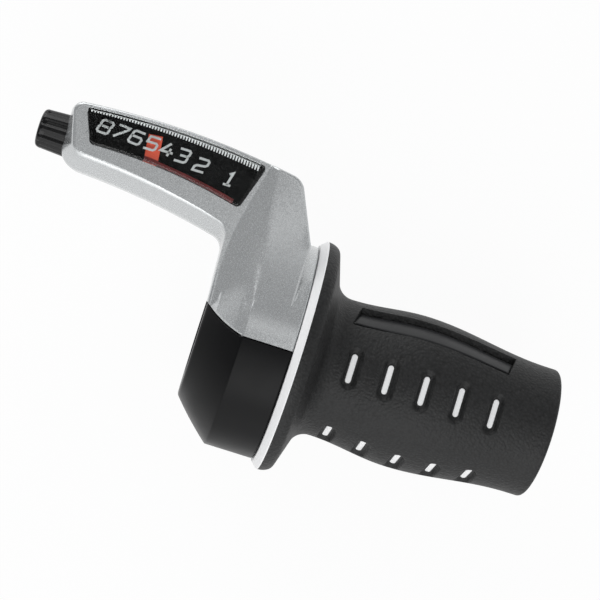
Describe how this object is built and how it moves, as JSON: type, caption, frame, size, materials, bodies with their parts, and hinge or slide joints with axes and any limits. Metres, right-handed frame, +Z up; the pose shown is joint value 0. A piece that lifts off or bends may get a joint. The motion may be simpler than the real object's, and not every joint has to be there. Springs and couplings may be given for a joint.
{
  "type": "twist grip shifter",
  "caption": "Bicycle twist grip shifter: silver and black bar clamp with a forward gear window and cable adjuster, and a slotted rubber twist grip that winds the cable.",
  "frame": {"origin": "on the handlebar axis, in the plane where the white ring of the grip core meets the rubber flange", "axes": "+X along the handlebar, outboard towards the grip's end; +Y forward, the side the pod is on; +Z up, the way the window faces"},
  "size_m": [0.1281, 0.0671, 0.0538],
  "materials": {
    "silver_lacquer": "silver metallic lacquer",
    "black_plastic": "satin moulded",
    "steel": "plain",
    "brass": "turned",
    "clear_window": "polished clear plastic",
    "dial_black": "fine matt",
    "marker_red": "matt",
    "white_plastic": "moulded",
    "grip_rubber": "fine pebbled",
    "plate_charcoal": "satin"
  },
  "bodies": {
    "housing": {"upper_housing": "silver_lacquer", "lower_clamp": "black_plastic", "clamp_screw": "steel", "clamp_insert": "brass", "pod_cover": "black_plastic", "cover_screws": "steel", "window_lens": "clear_window", "dial_tray": "dial_black", "cable_guide": "black_plastic", "adjuster_bushing": "brass", "detent_spring": "steel"},
    "grip": {"grip_core": "white_plastic", "cable_spool": "white_plastic", "grip_rubber": "grip_rubber", "grip_badge": "plate_charcoal"},
    "indicator": {"indicator": "marker_red"},
    "adjuster_carriage": {"adjuster_spring": "steel"},
    "adjuster": {"barrel_adjuster": "black_plastic"}
  },
  "joints": [
    {"name": "grip_twist", "type": "hinge", "parent": "housing", "child": "grip", "pos_m": [0, 0, 0], "axis": [1, 0, 0], "range_deg": [-39.2, 65.2], "deforming": ["detent_spring"]},
    {"name": "indicator_travel", "type": "hinge", "parent": "housing", "child": "indicator", "pos_m": [-0.0525, -0.10306, 0.0125], "axis": [0, 0, -1], "range_deg": [-4.58, 7.61]},
    {"name": "adjuster_advance", "type": "slide", "parent": "housing", "child": "adjuster_carriage", "axis": [1, 0, 0], "range_m": [-0.0008, 0.0008], "deforming": ["adjuster_spring"]},
    {"name": "adjuster_turn", "type": "hinge", "parent": "adjuster_carriage", "child": "adjuster", "pos_m": [-0.0606, 0.0312, 0.0058], "axis": [1, 0, 0], "range_deg": [-360, 360]}
  ],
  "couplings": [
    {"joint": "indicator_travel", "follows": "grip_twist", "ratio": 0.11662},
    {"joint": "adjuster_turn", "follows": "adjuster_advance", "rad_per_m": 7854}
  ]
}
